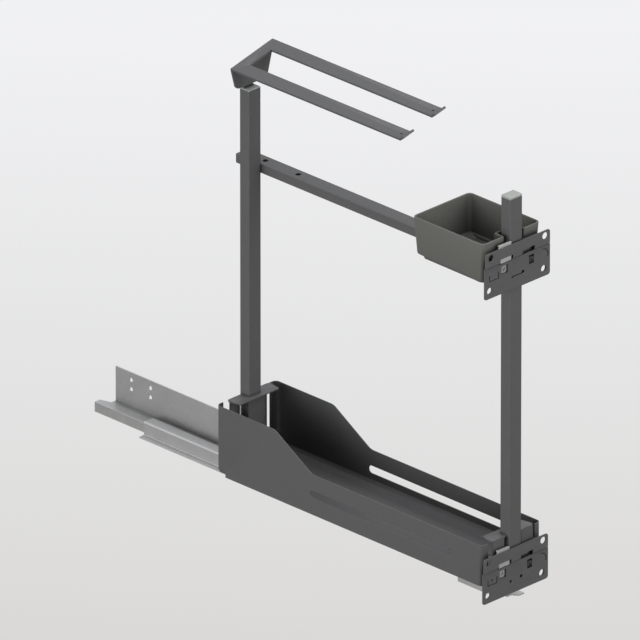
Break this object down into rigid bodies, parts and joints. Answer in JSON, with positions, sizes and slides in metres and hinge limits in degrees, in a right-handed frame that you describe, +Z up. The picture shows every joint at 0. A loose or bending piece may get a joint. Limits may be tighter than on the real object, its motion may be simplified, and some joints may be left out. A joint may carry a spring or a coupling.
{
  "type": "pull-out towel rail",
  "caption": "Pull-out towel rail for a narrow base cabinet: a bottle tray on a telescopic side runner, with columns, a cross rail, a sponge box, a towel fork and door plates.",
  "frame": {"origin": "centre of the rear four-hole screw pattern on the outer face of the cabinet rail", "axes": "+X out of the cabinet rail into the cabinet's right side, +Y to the back of the cabinet, +Z up"},
  "size_m": [0.1133, 0.7341, 0.5877],
  "materials": {
    "anthracite_paint": "fine satin powder coat",
    "zinc_sheet": "dull zinc plating",
    "bright_steel": "zinc plated, plain",
    "cap_plastic": "satin moulded",
    "box_plastic": "fine moulded grain",
    "black_steel": "fine satin, nearly black",
    "black_plastic": "satin moulded",
    "buffer_rubber": "matt"
  },
  "bodies": {
    "cabinet_side": {"cabinet_rail": "zinc_sheet", "cabinet_track_wall": "zinc_sheet", "closing_buffer": "buffer_rubber"},
    "middle_stage": {"middle_rail": "zinc_sheet", "middle_track": "zinc_sheet"},
    "outer_cage": {"outer_ball_cage": "bright_steel", "outer_balls": "bright_steel"},
    "inner_cage": {"inner_ball_cage": "bright_steel", "inner_balls": "bright_steel"},
    "frame_carriage": {"carriage_rail": "zinc_sheet", "front_runner_bracket": "zinc_sheet", "rear_runner_bracket": "zinc_sheet", "runner_rivets": "bright_steel", "tray_left_side": "anthracite_paint", "tray_right_side": "anthracite_paint", "tray_floor": "anthracite_paint", "tray_screws": "bright_steel", "tray_nuts": "bright_steel", "front_column_bracket": "anthracite_paint", "front_column_channel": "anthracite_paint", "rear_column_bracket": "anthracite_paint", "rear_column_channel": "anthracite_paint", "front_column": "anthracite_paint", "rear_column": "anthracite_paint", "column_foot_plugs": "black_plastic", "column_foot_screws": "bright_steel", "front_column_cap": "cap_plastic", "rear_column_cap": "cap_plastic", "cross_rail": "anthracite_paint", "cross_rail_plugs": "black_plastic", "cross_rail_screws": "bright_steel", "towel_fork": "anthracite_paint", "fork_tongue": "anthracite_paint", "fork_screws": "anthracite_paint", "upper_carrier": "black_steel", "upper_carrier_bolt": "bright_steel", "lower_carrier": "black_steel", "lower_carrier_bolt": "bright_steel"},
    "sponge_box": {"sponge_box": "box_plastic"},
    "upper_hook": {"upper_hook": "zinc_sheet"},
    "upper_plate": {"upper_door_plate": "anthracite_paint"},
    "upper_height_cam": {"upper_height_cam": "zinc_sheet"},
    "upper_side_cam": {"upper_side_cam": "black_plastic"},
    "lower_hook": {"lower_hook": "zinc_sheet"},
    "lower_plate": {"lower_door_plate": "anthracite_paint"},
    "lower_height_cam": {"lower_height_cam": "zinc_sheet"},
    "lower_side_cam": {"lower_side_cam": "black_plastic"}
  },
  "joints": [
    {"name": "middle_slide", "type": "slide", "parent": "cabinet_side", "child": "middle_stage", "axis": [0, -1, 0], "range_m": [-0.084, 0.12]},
    {"name": "outer_cage_slide", "type": "slide", "parent": "cabinet_side", "child": "outer_cage", "axis": [0, -1, 0], "range_m": [-0.042, 0.06]},
    {"name": "carriage_slide", "type": "slide", "parent": "middle_stage", "child": "frame_carriage", "axis": [0, -1, 0], "range_m": [-0.1864, 0.039]},
    {"name": "inner_cage_slide", "type": "slide", "parent": "middle_stage", "child": "inner_cage", "axis": [0, -1, 0], "range_m": [-0.0932, 0.0195]},
    {"name": "sponge_box_lift", "type": "slide", "parent": "frame_carriage", "child": "sponge_box", "axis": [0, 0, 1], "range_m": [0, 0.055]},
    {"name": "upper_height_slide", "type": "slide", "parent": "frame_carriage", "child": "upper_hook", "axis": [0, 0, 1], "range_m": [-0.0015, 0.0015]},
    {"name": "upper_side_slide", "type": "slide", "parent": "upper_hook", "child": "upper_plate", "axis": [1, 0, 0], "range_m": [-0.0015, 0.0015]},
    {"name": "upper_height_turn", "type": "hinge", "parent": "frame_carriage", "child": "upper_height_cam", "pos_m": [-0.0791, -0.6728, 0.40025], "axis": [0, 1, 0], "range_deg": [-45, 45]},
    {"name": "upper_side_turn", "type": "hinge", "parent": "frame_carriage", "child": "upper_side_cam", "pos_m": [-0.035, -0.6728, 0.39743], "axis": [0, 1, 0], "range_deg": [-45, 45]},
    {"name": "lower_height_slide", "type": "slide", "parent": "frame_carriage", "child": "lower_hook", "axis": [0, 0, 1], "range_m": [-0.0015, 0.0015]},
    {"name": "lower_side_slide", "type": "slide", "parent": "lower_hook", "child": "lower_plate", "axis": [1, 0, 0], "range_m": [-0.0015, 0.0015]},
    {"name": "lower_height_turn", "type": "hinge", "parent": "frame_carriage", "child": "lower_height_cam", "pos_m": [-0.0804, -0.6728, 0.01265], "axis": [0, 1, 0], "range_deg": [-45, 45]},
    {"name": "lower_side_turn", "type": "hinge", "parent": "frame_carriage", "child": "lower_side_cam", "pos_m": [-0.0363, -0.6728, 0.00983], "axis": [0, 1, 0], "range_deg": [-45, 45]}
  ],
  "couplings": [
    {"joint": "outer_cage_slide", "follows": "middle_slide", "ratio": 0.5},
    {"joint": "inner_cage_slide", "follows": "carriage_slide", "ratio": 0.5},
    {"joint": "upper_height_turn", "follows": "upper_height_slide", "rad_per_m": 523.5},
    {"joint": "upper_side_turn", "follows": "upper_side_slide", "rad_per_m": 523.5},
    {"joint": "lower_height_turn", "follows": "lower_height_slide", "rad_per_m": 523.5},
    {"joint": "lower_side_turn", "follows": "lower_side_slide", "rad_per_m": 523.5}
  ]
}
